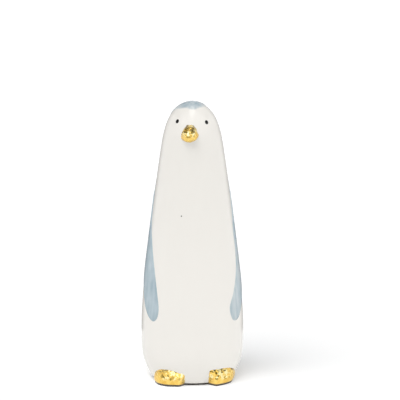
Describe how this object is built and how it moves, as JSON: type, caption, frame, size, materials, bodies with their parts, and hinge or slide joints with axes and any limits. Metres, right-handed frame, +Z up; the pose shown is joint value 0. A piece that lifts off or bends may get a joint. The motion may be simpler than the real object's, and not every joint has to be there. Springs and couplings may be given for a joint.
{
  "type": "penguin figurine",
  "caption": "Standing glazed ceramic penguin ornament: tall bullet-shaped hollow body with low-relief flippers, a stubby beak, feet at the base and a coloured coat over crown and back.",
  "frame": {"origin": "on the body's axis at the level of the foot ring and of the feet's soles", "axes": "+Z up along the body's axis; the penguin faces -Y and its left side is +X"},
  "size_m": [0.051, 0.0514, 0.1403],
  "materials": {
    "white_glaze": "glossy clear glaze over a white earthenware body",
    "blue_slip": "brushed pale grey-blue slip under a clear glaze",
    "gold_lustre": "bright fired gold lustre over glaze",
    "black_enamel": "glossy black overglaze enamel"
  },
  "bodies": {
    "root": {"body_shell": "white_glaze", "mantle": "blue_slip", "right_flipper": "blue_slip", "left_flipper": "blue_slip", "beak": "gold_lustre", "right_foot": "gold_lustre", "left_foot": "gold_lustre", "right_eye": "black_enamel", "left_eye": "black_enamel"}
  },
  "joints": []
}
